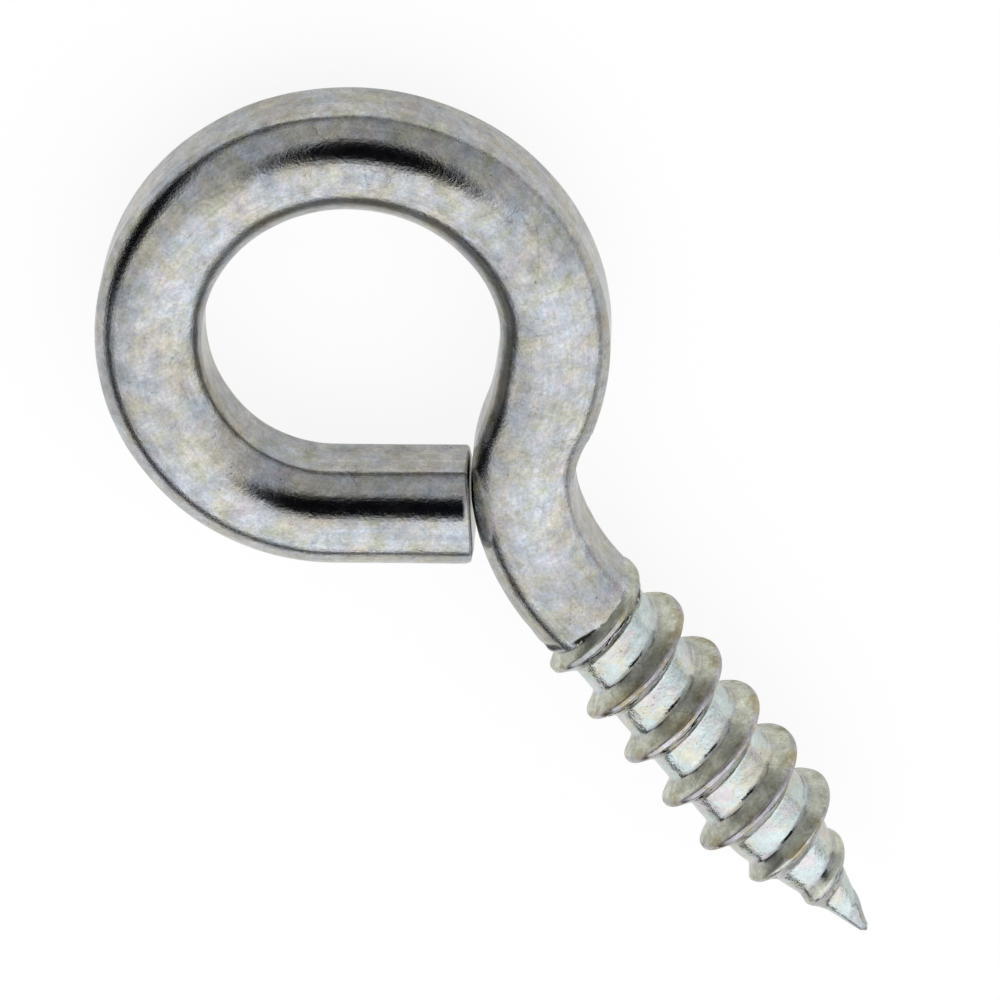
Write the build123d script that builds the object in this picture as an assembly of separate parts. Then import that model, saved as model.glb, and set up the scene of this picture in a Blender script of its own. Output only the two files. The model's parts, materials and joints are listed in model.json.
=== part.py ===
from build123d import *
from math import acos, atan, atan2, cos, degrees, floor, hypot, pi, radians, sin, sqrt, tan
import os

# Screw eye bent and rolled from one steel rod, lying flat as it comes to rest.
# It is drawn with the shank on the Y axis, the point at -Y, the eye at +Y and the
# shoulder, where the thread starts, at the origin. lay_down() then sets it on Z = 0.

# Rod
rod_d = 4.06  # drawn rod, 8 gauge
wall_press = 0.40  # how much thinner it is between the eye's two side walls, pressed flat
bend_oval = 0.05  # how much further the bent rod would bulge each way but for those walls

# Eye
eye_bore = 10.20  # clear width inside the eye
eye_turn = 231.0  # degrees of the eye at its full radius
closing_r = 5.85  # centre line of the tighter bend that closes the eye
closing_turn = 48.5
end_gap = 0.10  # between the cut end's inner corner and the neck
end_slant = 3.5  # degrees: the sheared end reaches further on its outer side
end_round = 0.60  # outer corner of that end, which the shear rolled over

# Neck, which sets the centre of the eye back over the shank
shank_plain = 1.20  # straight rod between the shoulder and the neck
neck_low_r = 7.80  # gentle bend next to the shank
neck_low_turn = 28.3
neck_high_r = 5.45  # sharper bend under the eye
flare_r = 9.30  # slack curve where the neck runs into the eye
flare_turn = 13.5

# Thread: wood-screw thread, 5 mm by 2.2 mm, with a gimlet point
thread_major_d = 5.05
thread_core_d = 3.55
thread_pitch = 2.20
thread_length = 16.20  # shoulder to tip
flank_angle = 38.0  # each flank, from the plane across the axis
crest_land = 0.12  # flat left along the crest
shoulder_length = 0.55  # rod size down to core size
point_length = 5.65  # cone of the gimlet point
point_blend = 0.13  # softens the corner where the core turns into the cone
tip_d = 0.26
first_crest = 0.23  # the first crest on the +X side stands this far above the shoulder
start_turn = -0.68  # the ridge starts inside the rod, this many turns before that crest
runout_turns = 1.70  # and rises to full height over these turns
ridge_end = 0.30  # between the end of the ridge and the tip
turn_steps = 28  # short straight steps in each turn, at most 0.016 mm off the true round

rod_r = rod_d / 2
pressed_wall = rod_d - wall_press
core_r = thread_core_d / 2
ridge_height = (thread_major_d - thread_core_d) / 2
tip_r = tip_d / 2
eye_r = (eye_bore + pressed_wall) / 2


def neck_high_turn():
    """Degrees of the sharper bend that bring the eye's centre onto the shank's axis."""
    low = radians(neck_low_turn)
    flare = radians(flare_turn)
    bend_x = neck_low_r - (neck_low_r - neck_high_r) * cos(low)
    along = neck_high_r + flare_r - (flare_r - eye_r) * cos(flare)
    across = -(flare_r - eye_r) * sin(flare)
    turned = atan2(across, along) + acos(bend_x / hypot(along, across))
    return degrees(turned) - neck_low_turn


def centre_line():
    """The rod's centre line from the straight shank, round the neck and the eye, to the cut end."""
    low = JernArc((0, shank_plain), (0, 1), neck_low_r, -neck_low_turn)
    high = JernArc(low @ 1, low % 1, neck_high_r, -neck_high_turn())
    flare = JernArc(high @ 1, high % 1, flare_r, flare_turn)
    eye = JernArc(flare @ 1, flare % 1, eye_r, eye_turn)
    closing = JernArc(eye @ 1, eye % 1, closing_r, closing_turn)

    # the tail's inner side stops end_gap short of the neck's round side, its outer side runs on
    way = closing % 1
    inward = way.rotate(Axis.Z, 90)
    corner = closing @ 1 + inward * (pressed_wall / 2) - high.center_point
    reach = neck_high_r + pressed_wall / 2 + end_gap
    ahead = corner.dot(way)
    inner_length = -ahead - sqrt(ahead**2 - corner.dot(corner) + reach**2)
    outer_length = inner_length + pressed_wall * tan(radians(end_slant))
    sheared_length = outer_length - inner_length + 1.1 * end_round
    tail = Line(closing @ 1, closing @ 1 + way * (outer_length - sheared_length))
    end = Line(tail @ 1, tail @ 1 + way * sheared_length)
    return [low, high, flare, eye, closing, tail, end]


def pressed_rod(path):
    """The bent rod along part of its centre line, squeezed flat between dies on its side walls."""
    section = Ellipse(rod_r + bend_oval, rod_r) & Rectangle(pressed_wall, 2 * rod_d)
    way = path[0] % 0
    start = Plane(origin=path[0] @ 0, x_dir=way.rotate(Axis.Z, -90), z_dir=way)
    return sweep(start * section, path=Wire(path))


def plain_rod():
    """Straight rod under the neck, round at the shoulder, where the pressed walls fade out."""
    neck_end = Plane(origin=(0, shank_plain, 0), z_dir=(0, 1, 0))
    rod = loft([Plane.XZ * Circle(rod_r), neck_end * Ellipse(rod_r + bend_oval, rod_r)], ruled=True)
    fade = Polyline(
        (-pressed_wall / 2, shank_plain),
        (-rod_r, 0),
        (rod_r, 0),
        (pressed_wall / 2, shank_plain),
        close=True,
    )
    return rod & extrude(make_face(fade), amount=rod_d, both=True)


def end_trim(end):
    """What the shear leaves off the end: it cuts askew and rolls the outer corner over."""
    outward = (end % 1).rotate(Axis.Z, -90)
    frame = Plane(origin=end @ 1 + outward * (pressed_wall / 2), x_dir=end % 1 * -1, z_dir=(0, 0, -1))
    step = tan(radians(end_slant))
    back, high = 2 * end_round, 2 * pressed_wall
    kept = make_face(Polyline((back, 0), (0, 0), (high * step, high), (back, high), close=True))
    kept = fillet(kept.vertices().sort_by_distance((0, 0))[0], end_round)
    return extrude(frame * (Pos(0, high / 2) * Rectangle(2 * back, high) - kept), amount=rod_d, both=True)


def bent_rod():
    """Everything above the shoulder."""
    low, high, flare, eye, closing, tail, end = centre_line()
    neck = pressed_rod([low, high, flare])
    loop = pressed_rod([eye, closing, tail])
    return plain_rod() + neck + loop + (pressed_rod([end]) - end_trim(end))


def core_radius(depth):
    """Radius of the core at a depth below the shoulder, where it softens into the cone."""
    cone = tip_r + (core_r - tip_r) * (thread_length - depth) / point_length
    return (core_r + cone - hypot(core_r - cone, point_blend)) / 2


def ridge_section(turn):
    """Radius and depth of the ridge's two feet and two crest edges, upper foot first."""
    depth = thread_pitch * turn - first_crest
    rise = sin(pi / 2 * min((turn - start_turn) / runout_turns, 1))
    taper = (core_radius(depth) - tip_r) / (core_r - tip_r)
    least = 0.05
    height = ridge_height * (least + (1 - least) * rise * taper**1.5)
    crest = core_radius(depth) + height
    land = crest_land / 2
    foot = land + height * tan(radians(flank_angle))
    return (
        (core_radius(depth - foot), depth - foot),
        (crest, depth - land),
        (crest, depth + land),
        (core_radius(depth + foot), depth + foot),
    )


def on_helix(turn, radius, depth):
    """A point of the thread; turns count from the +X side, right-handed towards the tip."""
    angle = 2 * pi * turn
    return (radius * cos(angle), -depth, radius * sin(angle))


def one_turn(first, place):
    """A turn of one line of the thread, where place gives its radius and depth."""
    turns = [first + step / turn_steps for step in range(turn_steps + 1)]
    return Wire.make_polygon([on_helix(turn, *place(turn)) for turn in turns], close=False)


def strip(line, next_line):
    """The small faces between two such lines."""
    return Face.make_surface_from_curves(line, next_line).faces()


def threaded_shank():
    """Core, ridge and point: one skin of strips between helical lines, a turn at a time."""
    end_turn = (thread_length - ridge_end + first_crest) / thread_pitch
    count = floor(end_turn - start_turn)
    firsts = [start_turn + turn for turn in range(count)]
    lines = [
        [one_turn(first, lambda turn: ridge_section(turn)[corner]) for corner in range(4)]
        for first in firsts
    ]
    # inside the rod the skin closes on the axis, and at the point on a small blunt tip
    axis = one_turn(firsts[0], lambda turn: (0, thread_pitch * turn - first_crest))
    tip = one_turn(firsts[-1], lambda turn: (tip_r / 2, thread_length))
    in_order = [axis] + [line for turn_lines in lines for line in turn_lines] + [tip]
    skin = [face for pair in zip(in_order, in_order[1:]) for face in strip(*pair)]

    # the two ends of the ridge, and the tip
    top, below = firsts[0], firsts[0] + 1
    start = [on_helix(top, *place) for place in ridge_section(top)]
    start += [on_helix(below, *ridge_section(below)[0]), axis @ 1, axis @ 0]
    last, end = firsts[-1], firsts[-1] + 1
    finish = [on_helix(end, *place) for place in ridge_section(end)]
    finish += [tip @ 1, on_helix(last, *ridge_section(last)[3])]
    skin += [Face(Wire.make_polygon(corners)) for corners in (start, finish)]
    skin.append(Face(tip))
    return Solid(Shell(skin))


def shoulder():
    """Short cone from the rod down to the core, run on a little inside the core."""
    slope = (rod_r - core_r) / shoulder_length
    inner_r = core_r * 0.8
    end = (rod_r - inner_r) / slope
    outline = Polyline((0, 0), (rod_r, 0), (inner_r, -end), (0, -end), close=True)
    return revolve(make_face(outline), Axis.Y)


def lay_down(screw_eye):
    """Tip the part until the eye and the first full crest share a floor, and centre it there."""
    eye = centre_line()[3]
    far_side = eye.center_point.Y + eye_r
    crest_y = first_crest - thread_pitch * (start_turn + runout_turns)
    drop = thread_major_d / 2 - rod_r
    lean = degrees(atan(drop / (far_side - crest_y)))
    lying = Rot(X=-lean) * screw_eye
    box = lying.bounding_box()
    return Pos(-box.center().X, -box.center().Y, -box.min.Z) * lying


os.makedirs("parts", exist_ok=True)
screw_eye = lay_down(bent_rod() + shoulder() + threaded_shank())
screw_eye.label = "screw_eye"
export_step(screw_eye, "parts/screw_eye.step")
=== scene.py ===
import bpy
import json
from functools import partial
from math import acos, atan2, cos, degrees, hypot, pi, radians, sin, sqrt, tau
from mathutils import Matrix, Vector


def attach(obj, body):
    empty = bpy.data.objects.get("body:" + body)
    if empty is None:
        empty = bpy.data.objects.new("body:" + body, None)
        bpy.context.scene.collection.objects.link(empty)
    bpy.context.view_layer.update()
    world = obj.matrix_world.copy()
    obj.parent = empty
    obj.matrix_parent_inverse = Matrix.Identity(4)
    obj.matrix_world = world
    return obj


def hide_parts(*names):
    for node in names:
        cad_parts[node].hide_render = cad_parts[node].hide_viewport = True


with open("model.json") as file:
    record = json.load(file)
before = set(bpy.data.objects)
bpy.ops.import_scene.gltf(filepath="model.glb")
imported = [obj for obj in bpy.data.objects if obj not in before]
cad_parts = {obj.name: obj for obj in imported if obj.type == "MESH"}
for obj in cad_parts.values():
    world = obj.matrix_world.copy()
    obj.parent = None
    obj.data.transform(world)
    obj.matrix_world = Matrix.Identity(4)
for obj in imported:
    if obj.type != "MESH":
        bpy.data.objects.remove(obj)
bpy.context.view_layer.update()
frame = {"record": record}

scene = bpy.context.scene
mm = 0.001
mathNode, vectorMath, remap = "ShaderNodeMath", "ShaderNodeVectorMath", "ShaderNodeMapRange"
noiseNode, mixNode = "ShaderNodeTexNoise", "ShaderNodeMix"
combine, separate = "ShaderNodeCombineXYZ", "ShaderNodeSeparateXYZ"
storeNode = "GeometryNodeStoreNamedAttribute"


def addNode(tree, kind, inputs=(), **settings):
    # inputs go by name, or in order; a node in place of a value stands for its first output
    made = tree.nodes.new(kind)
    for name, value in settings.items():
        setattr(made, name, value)
    pairs = inputs.items() if isinstance(inputs, dict) else enumerate(inputs)
    for key, value in pairs:
        if isinstance(value, bpy.types.Node):
            value = value.outputs[0]
        if isinstance(value, bpy.types.NodeSocket):
            tree.links.new(value, made.inputs[key])
        else:
            made.inputs[key].default_value = value
    return made


def toLinear(hexColor):
    parts = [int(hexColor[i : i + 2], 16) / 255 for i in (1, 3, 5)]
    return [c / 12.92 if c <= 0.04045 else ((c + 0.055) / 1.055) ** 2.4 for c in parts] + [1]


# camera
camera = {
    "azimuth": 139.73,  # degrees round the part, 0 looks along +Y
    "elevation": 60.71,
    "roll": 183.03,  # the camera stands over the eye, nearly upside down
    "aim": (0.02, 2.264, 2.2),  # mm
    "distance": 225,  # mm
    "sensor": 36,
    "span": 34.44,  # mm of the part across the frame at that distance
    "clip": (0.01, 10),  # m
}


def directionTo(azimuth, elevation):
    a, e = radians(azimuth), radians(elevation)
    return Vector((sin(a) * cos(e), -cos(a) * cos(e), sin(e)))


def makeCamera(view):
    outward = directionTo(view["azimuth"], view["elevation"])
    right = Vector((0, 0, 1)).cross(outward).normalized()
    turn = Matrix((right, outward.cross(right), outward)).transposed().to_4x4()
    data = bpy.data.cameras.new("camera")
    data.sensor_width = view["sensor"]
    data.lens = view["sensor"] * view["distance"] / view["span"]
    data.clip_start, data.clip_end = view["clip"]
    holder = bpy.data.objects.new("camera", data)
    place = Matrix.Translation((Vector(view["aim"]) + outward * view["distance"]) * mm)
    holder.matrix_world = place @ turn @ Matrix.Rotation(radians(view["roll"]), 4, "Z")
    scene.collection.objects.link(holder)
    scene.camera = holder


makeCamera(camera)
print("camera ready")

# screw eye, all in mm, drawn with the shank on Y, the point at -Y and the shoulder at the origin
rod = {
    "Rod Diameter": 4.06,
    "Bend Oval": 0.05,
    "Wall To Wall": 3.66,  # between the two walls that the dies pressed flat
    "Wall Softness": 0.06,  # how round their edges are, from 0.3 to 2.6 times this
    "Press Start": 1.25,  # the walls fade out towards the shoulder over this length
    "Neck Bulge": 0.15,  # metal squeezed out into the eye where the neck runs into it
    "Bulge At": 10.5,  # along the rod from the shoulder
    "Bulge Reach": 2.8,
    "Post Radius": 3.75,  # post that the neck was bent round, which left its mark
    "Shoulder Drop": 0.95,  # cone under the shoulder, most of it inside the core
    "Drop Radius": 1.59,
    "Ring Depth": 0.07,  # turning marks round the shoulder
    "Ring Crowding": 5.5,
    "Ring Start": 0.05,
    "Ring End": 0.5,
    "End Round": 0.60,  # outer corner of the cut end
    "End Round Power": 3.2,
    "End Break": 0.10,
    "End Slant": 3.5,  # degrees
    "Slant Reach": 3.0,
    "End Cap": 0.025,  # share of the grid that closes each end
    "Waviness": 0.02,
    "Steps Along": 330,
    "Steps Around": 96,
}
line = {
    "plain": 1.20,
    "neckLow": (7.8, 28.3),  # radius and degrees
    "neckHighRadius": 5.45,
    "flare": (9.3, 13.5),
    "eyeBore": 10.2,
    "eyeTurn": 231.0,
    "closing": (5.85, 48.5),
    "endGap": 0.10,
    "step": 0.1,
}
thread = {
    "Outside Radius": 2.51,
    "Core Radius": 1.775,
    "Tip Radius": 0.13,
    "Pitch": 2.20,
    "Length": 16.19,
    "Point Length": 5.65,
    "Cone Blend": 0.3,  # softens the corner where the core turns into the cone
    "Nose Length": 0.2,
    "Skin Top": 1.5,  # the skin starts this far inside the rod
    "First Crest": 0.23,
    "First Turn": -1.3,
    "Turns": 9.5,
    "Ridge Start": -0.68,  # in turns from the first crest
    "Rise Turns": 1.70,
    "Taper Power": 1.5,  # how fast the ridge dies away along the point
    "Crest Waviness": 0.035,
    "Skin Waviness": 0.035,  # the rolled metal is never quite round
    "Fold Depth": 0.13,  # lap that the rolling left along the tip side of the crest
    "Fold Width": 0.034,  # in pitches
    "Crest Crowding": 1.4,  # over 1, the rows are closest together along the crest
    "Steps Per Turn": 108,
    "Steps Across": 52,
}
# the ridge's height from its foot to its crest, over half a pitch
ridgeShape = ((0.20, 0.0), (0.235, 0.045), (0.285, 0.2), (0.43, 0.86), (0.452, 0.955), (0.47, 0.995))


def centreLine():
    eyeRadius = (line["eyeBore"] + rod["Wall To Wall"]) / 2
    (lowR, lowTurn), (flareR, flareTurn) = line["neckLow"], line["flare"]
    highR = line["neckHighRadius"]
    # the sharper bend brings the eye's centre back onto the shank's axis
    low, flare = radians(lowTurn), radians(flareTurn)
    along = highR + flareR - (flareR - eyeRadius) * cos(flare)
    across = -(flareR - eyeRadius) * sin(flare)
    bendX = lowR - (lowR - highR) * cos(low)
    highTurn = degrees(atan2(across, along) + acos(bendX / hypot(along, across))) - lowTurn

    bends = [(lowR, -lowTurn), (highR, -highTurn), (flareR, flareTurn)]
    bends += [(eyeRadius, line["eyeTurn"]), line["closing"]]
    heading = pi / 2
    points = [Vector((0, -rod["Shoulder Drop"]))]

    def straight(length):
        steps = max(2, round(length / line["step"]))
        start = points[-1].copy()
        for k in range(1, steps + 1):
            points.append(start + Vector((cos(heading), sin(heading))) * length * k / steps)

    straight(rod["Shoulder Drop"] + line["plain"])
    centres = []
    for radius, turn in bends:
        side = 1 if turn > 0 else -1
        centre = points[-1] + Vector((-sin(heading), cos(heading))) * radius * side
        centres.append(centre)
        steps = max(2, round(radians(abs(turn)) * radius / line["step"]))
        arm = points[-1] - centre
        for k in range(1, steps + 1):
            points.append(centre + Matrix.Rotation(radians(turn) * k / steps, 2) @ arm)
        heading += radians(turn)
    # the tail runs on until its inner corner all but meets the neck
    way = Vector((cos(heading), sin(heading)))
    corner = points[-1] + Vector((-way.y, way.x)) * rod["Wall To Wall"] / 2 - centres[1]
    reach = highR + rod["Wall To Wall"] / 2 + line["endGap"]
    ahead = corner.dot(way)
    straight(-ahead - sqrt(ahead**2 - corner.dot(corner) + reach**2))
    return points, centres[1]


def makeTree(name, sizes):
    tree = bpy.data.node_groups.new(name, "GeometryNodeTree")
    tree.interface.new_socket("Geometry", in_out="INPUT", socket_type="NodeSocketGeometry")
    tree.interface.new_socket("Geometry", in_out="OUTPUT", socket_type="NodeSocketGeometry")
    for key, value in sizes.items():
        kind = "NodeSocketInt" if isinstance(value, int) else "NodeSocketFloat"
        tree.interface.new_socket(key, in_out="INPUT", socket_type=kind)
    return tree, tree.nodes.new("NodeGroupInput"), tree.nodes.new("NodeGroupOutput")


def finishSkin(add, grid, place, wire, screw):
    # wire gives the grain along the metal; screw gives flank (root below zero), ridge and fold
    shape = grid
    for name, value in (("wire", wire), ("screw", screw)):
        store = {"Geometry": shape, "Name": name, "Value": value}
        shape = add(storeNode, store, data_type="FLOAT_VECTOR", domain="POINT")
    shape = add("GeometryNodeSetPosition", {"Geometry": shape, "Position": place})
    return add("GeometryNodeMergeByDistance", {"Geometry": shape, "Distance": 0.0006})


def rodTree(postCentre):
    tree, given, result = makeTree("bentRod", rod)
    add = partial(addNode, tree)
    size = given.outputs
    counts = {"Vertices X": size["Steps Along"], "Vertices Y": size["Steps Around"]}
    grid = add("GeometryNodeMeshGrid", counts)
    at = add(separate, [add("GeometryNodeInputPosition")])
    along, around = at.outputs[0], at.outputs[1]
    # the first and last rows close the ends, the rest run along the rail
    firstRing = add(mathNode, [size["End Cap"], 0.5], operation="SUBTRACT")
    lastRing = add(mathNode, [firstRing, -1], operation="MULTIPLY")
    factor = add(remap, [along, firstRing, lastRing, 0, 1])
    opening = add(remap, [along, -0.5, firstRing, 0, 1])
    closing = add(remap, [along, lastRing, 0.5, 1, 0])
    fill = add(mathNode, [opening, closing], operation="MULTIPLY")
    rail = add("GeometryNodeSampleCurve", {"Curves": size["Geometry"], "Factor": factor}, mode="FACTOR")
    length = add("GeometryNodeCurveLength", [size["Geometry"]])
    travelled = add(mathNode, [factor, length], operation="MULTIPLY")
    left = add(mathNode, [length, travelled], operation="SUBTRACT")
    past = add(mathNode, [travelled, size["Shoulder Drop"]], operation="SUBTRACT")
    outward = add(vectorMath, [rail.outputs["Tangent"], (0, 0, 1)], operation="CROSS_PRODUCT")

    # section: an oval with its two walls pressed flat
    half = add(mathNode, [size["Rod Diameter"], 0.5], operation="MULTIPLY")
    wide = add(mathNode, [half, size["Bend Oval"]], operation="ADD")
    turn = add(mathNode, [around, tau], operation="MULTIPLY")
    cosine = add(mathNode, [turn], operation="COSINE")
    sine = add(mathNode, [turn], operation="SINE")
    across = add(mathNode, [cosine, wide], operation="MULTIPLY")
    height = add(mathNode, [sine, half], operation="MULTIPLY")
    pressed = add(mathNode, [size["Wall To Wall"], 0.5], operation="MULTIPLY")
    smooth = {"interpolation_type": "SMOOTHSTEP"}
    wall = add(remap, [past, 0, size["Press Start"], half, pressed], **smooth)
    # the shear rolled the outer corner of the end over
    nearEnd = add(remap, [left, 0, size["End Round"], 1, 0])
    rolled = add(mathNode, [nearEnd, size["End Round Power"]], operation="POWER")
    rolledBack = add(mathNode, [rolled, size["End Round"]], operation="MULTIPLY")
    outerWall = add(mathNode, [wall, rolledBack], operation="SUBTRACT")
    # on the inner side the neck swells where it runs into the eye
    offBulge = add(mathNode, [past, size["Bulge At"]], operation="SUBTRACT")
    offBulge = add(mathNode, [offBulge], operation="ABSOLUTE")
    bulge = add(remap, [offBulge, 0, size["Bulge Reach"], size["Neck Bulge"], 0], **smooth)
    innerReach = add(mathNode, [wall, bulge], operation="ADD")
    innerWall = add(mathNode, [innerReach, -1], operation="MULTIPLY")
    inside = add(remap, [cosine, -1, 0, 1, 0])
    inside = add(mathNode, [bulge, inside], operation="MULTIPLY")
    across = add(mathNode, [across, inside], operation="SUBTRACT")
    spot = add(combine, [travelled, cosine, 0.0])
    wander = add(noiseNode, {"Vector": spot, "Scale": 0.35, "Detail": 2})
    soft = add(remap, [wander, 0.36, 0.64, 0.3, 2.6])
    soft = add(mathNode, [soft, size["Wall Softness"]], operation="MULTIPLY")
    clipped = add(mathNode, [across, innerWall, soft], operation="SMOOTH_MAX")
    clipped = add(mathNode, [clipped, outerWall, soft], operation="SMOOTH_MIN")

    # under the shoulder the rod narrows to a cone, with turning marks round it
    narrowing = add(mathNode, [size["Drop Radius"], half], operation="DIVIDE")
    cone = add(remap, [travelled, 0, size["Shoulder Drop"], narrowing, 1])
    crowded = add(mathNode, [past, size["Ring Crowding"]], operation="MULTIPLY")
    spot = add(combine, [crowded, cosine, sine])
    rings = add(noiseNode, {"Vector": spot, "Scale": 1.0, "Detail": 3, "Roughness": 0.6})
    ringZone = add(remap, [past, size["Ring Start"], size["Ring End"], 1, 0], **smooth)
    ringMark = add(remap, [rings, 0.42, 0.6, 0, 1], **smooth)
    ringMark = add(mathNode, [ringMark, ringZone], operation="MULTIPLY")
    ringCut = add(mathNode, [ringMark, size["Ring Depth"]], operation="MULTIPLY")
    ringCut = add(mathNode, [ringCut, half], operation="DIVIDE")
    cone = add(mathNode, [cone, ringCut], operation="SUBTRACT")
    spot = add(combine, [travelled, clipped, height])
    swell = add(noiseNode, {"Vector": spot, "Scale": 0.45, "Detail": 2})
    dent = add(mathNode, [swell, size["Waviness"]], operation="MULTIPLY")
    dent = add(mathNode, [dent, half], operation="DIVIDE")
    cone = add(mathNode, [cone, dent], operation="SUBTRACT")
    cone = add(mathNode, [cone, fill], operation="MULTIPLY")
    x = add(mathNode, [clipped, cone], operation="MULTIPLY")
    z = add(mathNode, [height, cone], operation="MULTIPLY")

    # the end is cut a little askew, and its edge is broken
    slant = add(mathNode, [size["End Slant"]], operation="RADIANS")
    slant = add(mathNode, [slant], operation="TANGENT")
    lean = add(mathNode, [x, pressed], operation="ADD")
    skew = add(mathNode, [lean, slant], operation="MULTIPLY")
    fade = add(remap, [left, 0, size["Slant Reach"], 1, 0], **smooth)
    askew = add(mathNode, [skew, fade], operation="MULTIPLY")
    rim = add(remap, [closing, 0.90, 1, 0, 1])
    rim = add(mathNode, [rim, 2], operation="POWER")
    rimBack = add(mathNode, [rim, size["End Break"]], operation="MULTIPLY")
    nearRim = add(remap, [left, 0, size["End Break"], 1, 0])
    rimHere = add(mathNode, [rimBack, nearRim], operation="MULTIPLY")
    shift = add(mathNode, [askew, rimHere], operation="SUBTRACT")

    place = add(vectorMath, {0: outward, "Scale": x}, operation="SCALE")
    place = add(vectorMath, [place, rail.outputs["Position"]], operation="ADD")
    forward = add(vectorMath, {0: rail.outputs["Tangent"], "Scale": shift}, operation="SCALE")
    place = add(vectorMath, [place, forward], operation="ADD")
    # the bending post bites into the neck's hollow side
    arm = add(vectorMath, [place, (*postCentre, 0)], operation="SUBTRACT")
    away = add(vectorMath, [arm], operation="LENGTH").outputs["Value"]
    push = add(mathNode, [size["Post Radius"], away], operation="DIVIDE")
    push = add(mathNode, [push, 1], operation="MAXIMUM")
    arm = add(vectorMath, {0: arm, "Scale": push}, operation="SCALE")
    place = add(vectorMath, [arm, (*postCentre, 0)], operation="ADD")
    lift = add(combine, {"Z": z})
    place = add(vectorMath, [place, lift], operation="ADD")
    wire = add(combine, [travelled, x, z])
    screw = add(combine, [0.0, 0.0, ringMark])
    tree.links.new(finishSkin(add, grid, place, wire, screw).outputs[0], result.inputs[0])
    return tree


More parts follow.
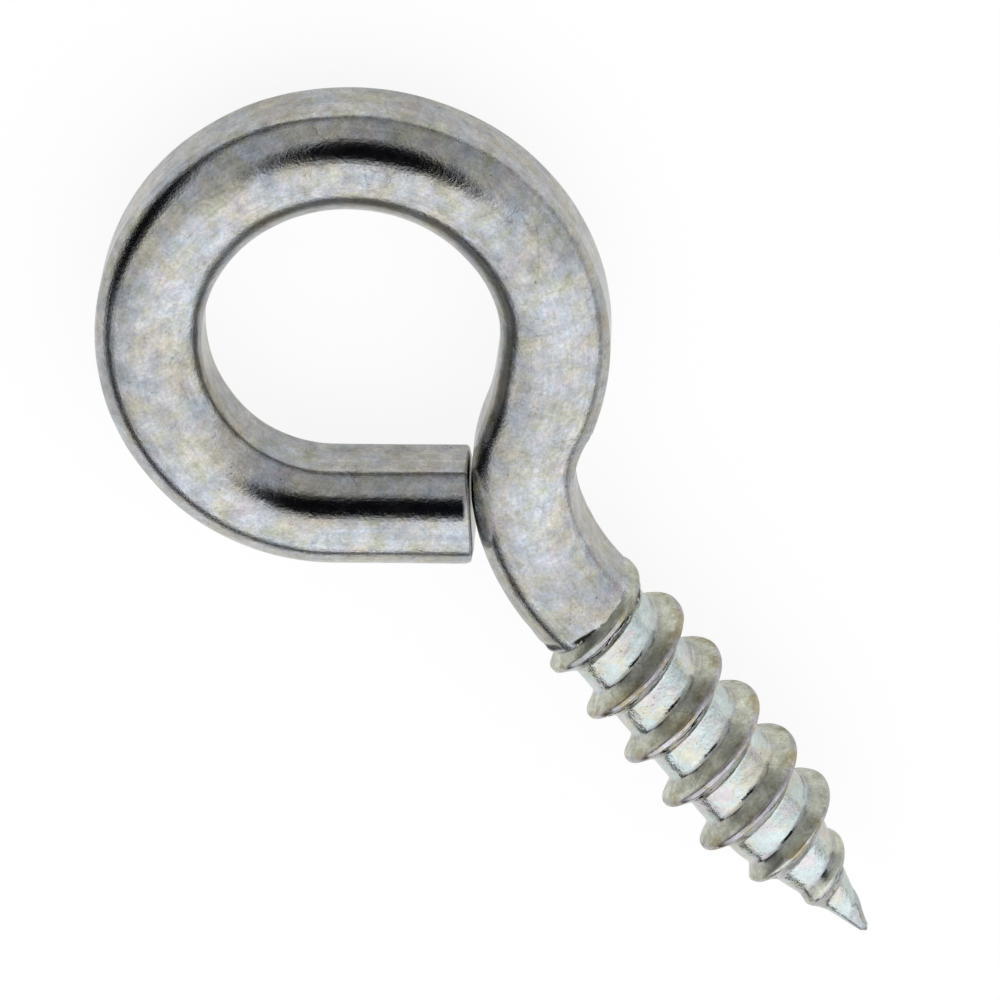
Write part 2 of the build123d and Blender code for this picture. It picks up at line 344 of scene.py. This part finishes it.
def threadTree():
    tree, given, result = makeTree("rolledThread", thread)
    add = partial(addNode, tree)
    size = given.outputs
    steps = add(mathNode, [size["Turns"], size["Steps Per Turn"], 1], operation="MULTIPLY_ADD")
    grid = add("GeometryNodeMeshGrid", {"Vertices X": steps, "Vertices Y": size["Steps Across"]})
    at = add(separate, [add("GeometryNodeInputPosition")])
    lastTurn = add(mathNode, [size["First Turn"], size["Turns"]], operation="ADD")
    turn = add(remap, [at.outputs[0], -0.5, 0.5, size["First Turn"], lastTurn])
    # across runs from -0.5 to 0.5 of a pitch, towards the tip, with the crest at 0
    double = add(mathNode, [at.outputs[1], 2], operation="MULTIPLY")
    spread = add(mathNode, [double], operation="ABSOLUTE")
    spread = add(mathNode, [spread, size["Crest Crowding"]], operation="POWER")
    halfSign = add(mathNode, [double], operation="SIGN")
    halfSign = add(mathNode, [halfSign, 0.5], operation="MULTIPLY")
    across = add(mathNode, [spread, halfSign], operation="MULTIPLY")
    drop = add(mathNode, [turn, across], operation="ADD")
    drop = add(mathNode, [drop, size["Pitch"]], operation="MULTIPLY")
    drop = add(mathNode, [drop, size["First Crest"]], operation="SUBTRACT")
    skinTop = add(mathNode, [size["Skin Top"], -1], operation="MULTIPLY")
    depth = add("ShaderNodeClamp", [drop, skinTop, size["Length"]])
    angle = add(mathNode, [turn, tau], operation="MULTIPLY")
    cosine = add(mathNode, [angle], operation="COSINE")
    sine = add(mathNode, [angle], operation="SINE")

    # core: straight part and cone
    coneTop = add(mathNode, [size["Length"], size["Point Length"]], operation="SUBTRACT")
    slope = add(mathNode, [size["Core Radius"], size["Tip Radius"]], operation="SUBTRACT")
    ends = [coneTop, size["Length"], size["Core Radius"], size["Tip Radius"]]
    cone = add(remap, [depth, *ends], clamp=False)
    core = add(mathNode, [size["Core Radius"], cone, size["Cone Blend"]], operation="SMOOTH_MIN")

    # ridge: rises out of the shoulder and dies away along the point
    rise = add(mathNode, [turn, size["Ridge Start"]], operation="SUBTRACT")
    rise = add(remap, [rise, 0, size["Rise Turns"], 0, pi / 2])
    rise = add(mathNode, [rise], operation="SINE")
    taper = add(mathNode, [core, size["Tip Radius"]], operation="SUBTRACT")
    taper = add(mathNode, [taper, slope], operation="DIVIDE")
    taper = add(mathNode, [taper, 0], operation="MAXIMUM")
    taper = add(mathNode, [taper, size["Taper Power"]], operation="POWER")
    full = add(mathNode, [size["Outside Radius"], size["Core Radius"]], operation="SUBTRACT")
    spot = add(combine, [cosine, sine, depth])
    uneven = add(noiseNode, {"Vector": spot, "Scale": 1.1, "Detail": 3, "Roughness": 0.6})
    lost = add(remap, [uneven, 0.3, 0.7, 0, 1])
    lost = add(mathNode, [lost, size["Crest Waviness"]], operation="MULTIPLY")
    full = add(mathNode, [full, lost], operation="SUBTRACT")
    present = add(mathNode, [rise, taper], operation="MULTIPLY")
    tall = add(mathNode, [present, full], operation="MULTIPLY")
    fromRoot = add(mathNode, [across, 0.5], operation="ADD")
    profile = add("ShaderNodeFloatCurve", {"Value": fromRoot})
    curve = profile.mapping.curves[0]
    curve.points[0].location, curve.points[1].location = (0, 0), (1, 0)
    for place, share in ridgeShape:
        curve.points.new(place, share)
        curve.points.new(1 - place, share)
    profile.mapping.update()

    # the lap comes and goes along the tip side of the crest
    wander = add(noiseNode, {"Vector": spot, "Scale": 3.0, "Detail": 2})
    lapAt = add(remap, [wander, 0.3, 0.7, 0.05, 0.20])
    offLap = add(mathNode, [across, lapAt], operation="SUBTRACT")
    offLap = add(mathNode, [offLap], operation="ABSOLUTE")
    shadedLap = add(remap, [offLap, 0.0, size["Fold Width"], 1, 0], interpolation_type="SMOOTHSTEP")
    shown = add(noiseNode, {"Vector": spot, "Scale": 0.9, "Detail": 4, "Roughness": 0.7})
    shown = add(remap, [shown, 0.47, 0.51, 0, 1])
    shadedLap = add(mathNode, [shadedLap, shown], operation="MULTIPLY")
    shadedLap = add(mathNode, [shadedLap, present], operation="MULTIPLY")
    ridge = add(mathNode, [tall, profile, core], operation="MULTIPLY_ADD")
    lapCut = add(mathNode, [shadedLap, size["Fold Depth"]], operation="MULTIPLY")
    radius = add(mathNode, [ridge, lapCut], operation="SUBTRACT")
    ripple = add(noiseNode, {"Vector": spot, "Scale": 2.4, "Detail": 3, "Roughness": 0.55})
    ripple = add(mathNode, [ripple, size["Skin Waviness"]], operation="MULTIPLY")
    calmer = add(remap, [core, size["Tip Radius"], size["Core Radius"], 0.2, 1])
    ripple = add(mathNode, [ripple, calmer], operation="MULTIPLY")
    radius = add(mathNode, [radius, ripple], operation="SUBTRACT")

    # both ends close on the axis, the point with a small round nose
    noseTop = add(mathNode, [size["Length"], size["Nose Length"]], operation="SUBTRACT")
    nose = add(remap, [drop, noseTop, size["Length"], 1, 0])
    nose = add(mathNode, [nose], operation="SQRT")
    top = add(mathNode, [drop, skinTop], operation="GREATER_THAN")
    radius = add(mathNode, [radius, nose], operation="MULTIPLY")
    radius = add(mathNode, [radius, top], operation="MULTIPLY")
    x = add(mathNode, [cosine, radius], operation="MULTIPLY")
    z = add(mathNode, [sine, radius], operation="MULTIPLY")
    y = add(mathNode, [depth, -1], operation="MULTIPLY")
    place = add(combine, [x, y, z])

    # grain runs round the thread, and the finish differs on its root, headward flank and crest; the
    # headward flank is also painted lighter, painted light against the dark it mirrors
    grain = add(mathNode, [sine, 2.0, depth], operation="MULTIPLY_ADD")
    drift = add(mathNode, [cosine, 0.3], operation="MULTIPLY")
    offCrest = add(mathNode, [across], operation="ABSOLUTE")
    fromCrest = add(mathNode, [offCrest, size["Pitch"]], operation="MULTIPLY")
    wire = add(combine, [grain, drift, fromCrest])
    ridgeShare = add(mathNode, [present, profile], operation="MULTIPLY")
    headSide = add(remap, [across, -0.04, 0, 1, 0])
    standing = add(remap, [ridgeShare, 0.06, 0.25, 0, 1])
    flankShare = add(mathNode, [headSide, standing], operation="MULTIPLY")
    rootShare = add(remap, [offCrest, 0.22, 0.30, 0, 1])
    side = add(mathNode, [flankShare, rootShare], operation="SUBTRACT")
    screw = add(combine, [side, ridgeShare, shadedLap])
    tree.links.new(finishSkin(add, grid, place, wire, screw).outputs[0], result.inputs[0])
    return tree


def makeRail(points):
    rail = bpy.data.curves.new("rail", "CURVE")
    rail.dimensions = "3D"
    spline = rail.splines.new("POLY")
    spline.points.add(len(points) - 1)
    for point, spot in zip(spline.points, points):
        point.co = (*spot, 0, 1)
    return rail


sharpAngle = 50  # degrees, past which an edge is left sharp


def makeScrewEye(material):
    points, postCentre = centreLine()
    holder = bpy.data.objects.new("screwEyeSource", makeRail(points))
    scene.collection.objects.link(holder)

    mount = next(m for m in frame["record"]["mounts"] if m["name"] == "thread")
    lean = atan2(mount["axis"][2], -mount["axis"][1])
    sizes = {**rod, **thread}
    tree, given, result = makeTree("screwEye", sizes)
    add = partial(addNode, tree)
    union = add("GeometryNodeMeshBoolean", operation="UNION", solver="EXACT")
    skins = add("GeometryNodeJoinGeometry")
    for group, keys in ((rodTree(postCentre), rod), (threadTree(), thread)):
        part = add("GeometryNodeGroup", node_tree=group)
        for key in ("Geometry", *keys):
            tree.links.new(given.outputs[key], part.inputs[key])
        tree.links.new(part.outputs[0], union.inputs["Mesh 2"])
        tree.links.new(part.outputs[0], skins.inputs[0])
    # the union mixes up what its skins carry, so that is read again from the nearest skin
    joined = union
    for name in ("wire", "screw"):
        carried = add("GeometryNodeInputNamedAttribute", {"Name": name}, data_type="FLOAT_VECTOR")
        source = {"Mesh": skins, "Value": carried}
        nearest = add("GeometryNodeSampleNearestSurface", source, data_type="FLOAT_VECTOR")
        store = {"Geometry": joined, "Name": name, "Value": nearest}
        joined = add(storeNode, store, data_type="FLOAT_VECTOR", domain="POINT")
    lying = {"Translation": mount["pos_m"], "Rotation": (-lean, 0, 0), "Scale": (mm, mm, mm)}
    laid = add("GeometryNodeTransform", {"Geometry": joined, **lying})
    real = add("GeometryNodeRealizeInstances", [laid])
    dressed = add("GeometryNodeSetMaterial", {"Geometry": real, "Material": material})
    tree.links.new(dressed.outputs[0], result.inputs[0])

    modifier = holder.modifiers.new("screwEye", "NODES")
    modifier.node_group = tree
    for item in tree.interface.items_tree:
        if item.name in sizes:
            modifier[item.identifier] = sizes[item.name]
    evaluated = holder.evaluated_get(bpy.context.evaluated_depsgraph_get())
    shape = bpy.data.meshes.new_from_object(evaluated)
    shape.name = "screwEye"
    shape.shade_smooth()
    shape.set_sharp_from_angle(angle=radians(sharpAngle))
    bpy.data.objects.remove(holder)
    piece = bpy.data.objects.new("screwEye", shape)
    scene.collection.objects.link(piece)
    return piece


# Bright zinc plate over drawn and rolled steel: the electroplate is smooth enough to mirror the
# studio, broken by its grain, by drawing lines along the wire and by faint passivation colours
plate = {
    "grey": "#C9CACB",
    "cool": "#C0C8D1",
    "warm": "#D0C7B3",
    "olive": "#C0C2AD",
    "pink": "#CFC6CB",
    "root": "#DCE9E6",
    "rootWarm": "#E6E0C8",
    "rootPink": "#E3D6D6",
    # painted light: the headward flanks are painted lighter than the plate to make up for the dark side
    # of the tent they mirror
    "flank": "#E9ECD8",
    "crest": "#C9C2CC",
    "ochre": "#BDAE84",
    "mark": "#6E6A66",
    "speck": "#4A4745",
    # painted shade: near black inside the laps, where shade falls into the fold
    "fold": "#15130F",
    # where each colour shows: from and to these values of its pattern, and how much of it
    "coolRange": (0.48, 0.36, 0, 0.9),
    "warmRange": (0.48, 0.60, 0, 0.8),
    "oliveRange": (0.52, 0.64, 0, 0.8),
    "pinkRange": (0.46, 0.36, 0, 0.8),
    "rootWarmRange": (0.50, 0.57, 0, 0.8),
    "rootPinkRange": (0.48, 0.41, 0, 0.8),
    "rootRange": (-1, 0, 0.75, 0),
    "flankRange": (0, 1, 0, 0.8),
    "crestRange": (0.80, 0.95, 0, 0.65),
    "ochreRange": (0.50, 0.56, 0, 0.75),
    "ochreRidge": (0.45, 0.75, 0, 1),
    "speckRange": (0.62, 0.70, 0, 0.85),
    "speckMottle": (0.60, 0.46, 0, 1),
    "foldRange": (0.15, 0.5, 0, 0.97),
    "markRange": (0.54, 0.62, 0, 0.6),
    "hairRange": (0.48, 0.54, 0, 1),
    "markOnRoot": (-1, 0, 0.35, 1),
    # brightness over the same kind of range
    "mottleLight": (0.36, 0.64, 0.68, 1.10),
    "streakLight": (0.3, 0.7, 0.91, 1.07),
    "grainLight": (0.34, 0.64, 0.82, 1.08),
    "broadLight": (0.35, 0.65, 0.84, 1.06),
    "rootLightTo": 1.5,  # share of root at which light and dark would be gone
    # short wandering marks, in mm, and hairlines
    "bend": 0.7,
    "bendSize": 0.5,
    "markSize": 1.1,
    "markWidth": 0.024,
    "hairScale": (130, 520, 520),  # cells to the metre
    "hairTurn": (0.3, 0.2, 0.9),
    "hairWidth": 0.010,
    "hairShare": 0.3,
    "streakLength": 5.0,  # drawing lines, mm
    "streakWidth": 0.11,
    "roughness": 0.085,
    "roughSpread": (0.08, -0.05),  # over that, where the mottle is dark and where it is light
    "foldRoughness": (0.2, 0.7, 0, 0.4),
    "flankRoughness": 0.24,  # on the side of the thread that the dies rubbed
    # heights in metres: soft swells, grain of the plate, drawing lines, rolled roots
    "mottleDepth": 10e-6,
    "grainDepth": 5.5e-6,
    "streakDepth": 2.5e-6,
    "rollDepth": 60e-6,
}
# width in mm, detail, roughness and offset in m
plateNoise = {
    "tint": (1.6, 7, 0.72, 0.031),
    "fineTint": (0.96, 7, 0.72, 0.117),
    "mottle": (0.60, 8, 0.74, 0.053),
    "grain": (0.11, 3, 0.65, 0.2),  # finer on the real plate, but it would not show
    "broad": (3.52, 3, 0.6, 0.311),
    "shown": (1.43, 3, 0.6, 0.4),
    "roll": (0.45, 4, 0.6, 0.7),
}


def makePlate(look, noises):
    material = bpy.data.materials.new("zincPlate")
    material.use_nodes = True
    tree = material.node_tree
    add = partial(addNode, tree)
    shader = tree.nodes["Principled BSDF"]
    color = {key: toLinear(value) for key, value in look.items() if isinstance(value, str)}
    spot = add("ShaderNodeTexCoord").outputs["Object"]
    wire = add("ShaderNodeAttribute", attribute_name="wire").outputs["Vector"]
    screw = add("ShaderNodeAttribute", attribute_name="screw").outputs["Vector"]
    side, ridge, fold = add(separate, [screw]).outputs
    noise = {}
    for name, (width, detail, roughness, offset) in noises.items():
        moved = add("ShaderNodeMapping", {"Vector": spot, "Location": (offset, offset, offset)})
        inputs = {"Vector": moved, "Scale": 1 / (width * mm), "Detail": detail, "Roughness": roughness}
        noise[name] = add(noiseNode, inputs)
    perLength, perWidth = 1 / look["streakLength"], 1 / look["streakWidth"]
    lines = add("ShaderNodeMapping", {"Vector": wire, "Scale": (perLength, perWidth, perWidth)})
    noise["streak"] = add(noiseNode, {"Vector": lines, "Scale": 1.0, "Detail": 3, "Roughness": 0.6})

    # passivation colours on the wire, and their like on the bright roots of the thread
    base, rootTint = color["grey"], color["root"]
    tints = (("tint", "warm"), ("tint", "cool"), ("fineTint", "olive"), ("fineTint", "pink"))
    for pattern, name in tints:
        share = add(remap, [noise[pattern], *look[name + "Range"]])
        base = add(mixNode, {0: share, 6: base, 7: color[name]}, data_type="RGBA").outputs[2]
    for pattern, name in (("tint", "rootWarm"), ("fineTint", "rootPink")):
        share = add(remap, [noise[pattern], *look[name + "Range"]])
        rootTint = add(mixNode, {0: share, 6: rootTint, 7: color[name]}, data_type="RGBA").outputs[2]

    # thread: bright roots, dull flanks towards the head with painted light that lifts the dark they
    # mirror, worn crests
    root = add(remap, [side, *look["rootRange"]])
    # painted light on the headward flanks, lighter against the dark they mirror
    flank = add(remap, [side, *look["flankRange"]])
    crest = add(remap, [ridge, *look["crestRange"]])
    ochre = add(remap, [noise["fineTint"], *look["ochreRange"]])
    high = add(remap, [ridge, *look["ochreRidge"]])
    ochre = add(mathNode, [ochre, high], operation="MULTIPLY")
    zones = ((root, rootTint), (flank, color["flank"]), (crest, color["crest"]), (ochre, color["ochre"]))
    for share, over in zones:
        base = add(mixNode, {0: share, 6: base, 7: over}, data_type="RGBA").outputs[2]

    # light and dark, mildest in the roots
    light = add(remap, [noise["mottle"], *look["mottleLight"]], clamp=False)
    for name in ("streak", "grain", "broad"):
        part = add(remap, [noise[name], *look[name + "Light"]])
        light = add(mathNode, [light, part], operation="MULTIPLY")
    light = add(remap, [root, 0, look["rootLightTo"], light, 1.0])
    grey = add("ShaderNodeCombineColor", [light, light, light])
    inputs = {0: 1.0, 6: base, 7: grey}
    base = add(mixNode, inputs, data_type="RGBA", blend_type="MULTIPLY").outputs[2]

    # short wandering marks, hairlines, specks, and painted shade in the laps
    wobble = add(noiseNode, {"Vector": spot, "Scale": 1 / (look["bendSize"] * mm), "Detail": 3})
    inputs = {0: wobble.outputs["Color"], "Scale": look["bend"] * mm}
    bent = add(vectorMath, inputs, operation="SCALE")
    warped = add(vectorMath, [spot, bent], operation="ADD")
    inputs = {"Vector": warped, "Scale": 1 / (look["markSize"] * mm)}
    mark = add("ShaderNodeTexVoronoi", inputs, feature="DISTANCE_TO_EDGE")
    mark = add(remap, [mark, 0.0, look["markWidth"] / look["markSize"], 1, 0])
    shown = add(remap, [noise["shown"], *look["markRange"]])
    mark = add(mathNode, [mark, shown], operation="MULTIPLY")
    inputs = {"Vector": spot, "Rotation": look["hairTurn"], "Scale": look["hairScale"]}
    stretched = add("ShaderNodeMapping", inputs)
    hair = add("ShaderNodeTexVoronoi", {"Vector": stretched, "Scale": 1.0}, feature="DISTANCE_TO_EDGE")
    hair = add(remap, [hair, 0.0, look["hairWidth"], look["hairShare"], 0])
    shown = add(remap, [noise["tint"], *look["hairRange"]])
    hair = add(mathNode, [hair, shown], operation="MULTIPLY")
    mark = add(mathNode, [mark, hair], operation="MAXIMUM")
    kept = add(remap, [side, *look["markOnRoot"]])
    mark = add(mathNode, [mark, kept], operation="MULTIPLY")
    speck = add(remap, [noise["grain"], *look["speckRange"]])
    dark = add(remap, [noise["mottle"], *look["speckMottle"]])
    speck = add(mathNode, [speck, dark], operation="MULTIPLY")
    # the laps are painted near black, painted shade inside the fold that the geometry cuts
    shadedLap = add(remap, [fold, *look["foldRange"]])
    for share, name in ((mark, "mark"), (speck, "speck"), (shadedLap, "fold")):
        base = add(mixNode, {0: share, 6: base, 7: color[name]}, data_type="RGBA").outputs[2]
    tree.links.new(base, shader.inputs["Base Color"])

    dullest, shiniest = (look["roughness"] + part for part in look["roughSpread"])
    rough = add(remap, [noise["mottle"], 0.3, 0.7, dullest, shiniest])
    inLap = add(remap, [fold, *look["foldRoughness"]])
    rough = add(mathNode, [inLap, rough], operation="ADD")
    onFlank = add(remap, [side, 0, 1, 0, look["flankRoughness"]])
    rough = add(mathNode, [onFlank, rough], operation="ADD")
    tree.links.new(rough.outputs[0], shader.inputs["Roughness"])
    shader.inputs["Metallic"].default_value = 1

    noise["roll"] = add(mathNode, [noise["roll"], root], operation="MULTIPLY")
    bump = None
    for name in ("mottle", "grain", "streak", "roll"):
        inputs = {"Height": noise[name], "Distance": look[name + "Depth"], "Strength": 1.0}
        if bump:
            inputs["Normal"] = bump
        bump = add("ShaderNodeBump", inputs)
    tree.links.new(bump.outputs[0], shader.inputs["Normal"])
    return material


screwEye = makeScrewEye(makePlate(plate, plateNoise))
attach(screwEye, "root")
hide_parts("screw_eye")
print("screw eye ready:", len(screwEye.data.polygons), "faces")

# studio: a white tent over white paper, with a gap at its foot, an opening overhead and a dark card
studio = {
    "paperSize": 0.8,  # m
    "paper": (0.87, 0.87, 0.83),
    "paperRoughness": 0.9,
    "paperGlow": 0.82,  # share of plain white that the camera sees, the rest takes the shadow
    "paperMirror": 0.50,  # the same for what the metal mirrors
    "glowStrength": 1.08,
    "gap": "#1B1D24",
    "gapTop": 9.0,  # degrees above the floor, more towards gapAzimuth and less away from it
    "gapAzimuth": 250.0,
    "gapTilt": 0.11,
    "gapSoft": 4.0,
    "hole": "#0D0E14",
    "holeRadius": 21.5,
    "holeSoft": 2.0,
    "holeAzimuth": 141.0,
    "holeElevation": 72.0,
    "card": "#14151A",  # dark card that stands beside the eye
    "cardRadius": 27.0,
    "cardSoft": 5.0,
    "cardAzimuth": 222.0,
    "cardElevation": 3.0,
    "nearSide": (139.9, 20.0),  # the tent is darkest towards the camera's side
    "nearSpread": (0.0, 0.9),  # cosines of the angles from it, where that starts and is full
    "nearShade": 0.60,
    "brightSide": (352.0, 32.0),  # and brightest where the lamp stands behind it
    "brightSpread": (0.1, 0.95),
    "brightest": 1.26,
    "dimmest": 0.84,
    "lampTint": (0.975, 1.0, 1.035),  # daylight
}


def makeStudio(look):
    half = look["paperSize"] / 2
    mesh = bpy.data.meshes.new("paper")
    corners = [(-half, -half, 0), (half, -half, 0), (half, half, 0), (-half, half, 0)]
    mesh.from_pydata(corners, [], [(0, 1, 2, 3)])
    paper = bpy.data.objects.new("paper", mesh)
    scene.collection.objects.link(paper)

    material = bpy.data.materials.new("whitePaper")
    material.use_nodes = True
    tree = material.node_tree
    add = partial(addNode, tree)
    matt = tree.nodes["Principled BSDF"]
    matt.inputs["Base Color"].default_value = (*look["paper"], 1)
    matt.inputs["Roughness"].default_value = look["paperRoughness"]
    matt.inputs["Specular IOR Level"].default_value = 0
    ray = add("ShaderNodeLightPath").outputs
    share = add(mathNode, [ray["Is Camera Ray"], look["paperGlow"]], operation="MULTIPLY")
    for kind in ("Is Glossy Ray", "Is Transmission Ray"):
        inputs = [ray[kind], look["paperMirror"], share]
        share = add(mathNode, inputs, operation="MULTIPLY_ADD")
    glow = add("ShaderNodeEmission", {"Color": (1, 1, 1, 1), "Strength": look["glowStrength"]})
    blend = add("ShaderNodeMixShader", [share, matt, glow])
    tree.links.new(blend.outputs[0], tree.nodes["Material Output"].inputs["Surface"])
    mesh.materials.append(material)

    world = bpy.data.worlds.new("studio")
    scene.world = world
    world.use_nodes = True
    tree = world.node_tree
    add = partial(addNode, tree)
    way = add("ShaderNodeTexCoord").outputs["Generated"]
    rise = add(separate, [way]).outputs[2]
    low, high = (sin(radians(look["gapTop"] + side * look["gapSoft"] / 2)) for side in (-1, 1))
    dot, smooth = {"operation": "DOT_PRODUCT"}, {"interpolation_type": "SMOOTHSTEP"}
    toGap = add(vectorMath, [way, directionTo(look["gapAzimuth"], 0)], **dot).outputs["Value"]
    rise = add(mathNode, [toGap, -look["gapTilt"], rise], operation="MULTIPLY_ADD")
    overGap = add(remap, [rise, low, high, 0, 1], **smooth)
    darkParts = [(overGap, look["gap"])]
    for name in ("hole", "card"):
        partWay = directionTo(look[name + "Azimuth"], look[name + "Elevation"])
        toPart = add(vectorMath, [way, partWay], **dot).outputs["Value"]
        radius, soft = look[name + "Radius"], look[name + "Soft"] / 2
        rim, middle = cos(radians(radius + soft)), cos(radians(radius - soft))
        over = add(remap, [toPart, rim, middle, 1, 0], **smooth)
        darkParts.append((over, look[name]))
    toNear = add(vectorMath, [way, directionTo(*look["nearSide"])], **dot).outputs["Value"]
    shade = add(remap, [toNear, *look["nearSpread"], 1, look["nearShade"]], **smooth)
    toLamp = add(vectorMath, [way, directionTo(*look["brightSide"])], **dot).outputs["Value"]
    lamp = [*look["brightSpread"], look["dimmest"], look["brightest"]]
    lamp = add(remap, [toLamp, *lamp], **smooth)
    shade = add(mathNode, [shade, lamp], operation="MULTIPLY")
    channels = [add(mathNode, [shade, part], operation="MULTIPLY") for part in look["lampTint"]]
    tent = add("ShaderNodeCombineColor", channels).outputs[0]
    for share, dark in darkParts:
        inputs = {0: share, 6: toLinear(dark), 7: tent}
        tent = add(mixNode, inputs, data_type="RGBA").outputs[2]
    back = tree.nodes["Background"]
    tree.links.new(tent, back.inputs["Color"])
    plain = add("ShaderNodeBackground", {"Color": (1, 1, 1, 1), "Strength": 1})
    view = add("ShaderNodeLightPath").outputs["Is Camera Ray"]
    both = add("ShaderNodeMixShader", [view, back, plain])
    tree.links.new(both.outputs[0], tree.nodes["World Output"].inputs["Surface"])


makeStudio(studio)
scene.view_settings.view_transform = "Standard"
print("studio ready")
